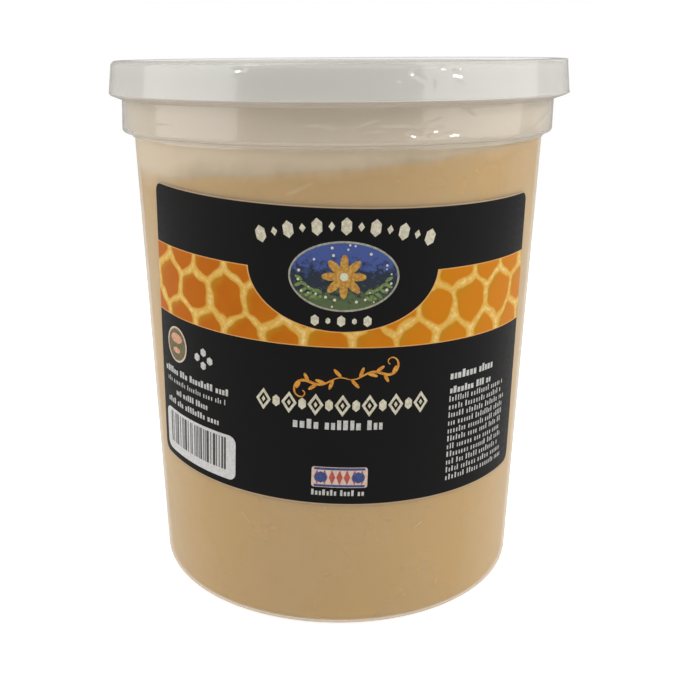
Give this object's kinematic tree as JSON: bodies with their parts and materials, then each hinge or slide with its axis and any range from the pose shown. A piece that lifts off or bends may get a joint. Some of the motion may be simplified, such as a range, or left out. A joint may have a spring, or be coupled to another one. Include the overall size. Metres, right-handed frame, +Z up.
{
  "type": "lidded plastic tub of creamed honey",
  "caption": "Frosted plastic tub with a snap lid and clear shrink band, filled with pale creamed honey, with a black wrapped label and honeycomb print.",
  "frame": {"origin": "centre of the tub's foot, on the surface that it stands on", "axes": "+Z up along the tub's axis, -Y towards the middle of the label's side, +X to the right of the label as it is read"},
  "size_m": [0.1186, 0.1186, 0.1371],
  "materials": {
    "frosted_polypropylene": "frosted translucent, thin walled",
    "white_lid_plastic": "satin, slightly translucent white",
    "creamed_honey": "opaque pale tan cream with a soft sheen",
    "printed_label": "satin printed film, black with an orange honeycomb band",
    "clear_film": "clear gloss film with small wrinkles"
  },
  "bodies": {
    "root": {"tub": "frosted_polypropylene", "lid": "white_lid_plastic", "honey": "creamed_honey", "label": "printed_label", "shrink_band": "clear_film"}
  },
  "joints": []
}
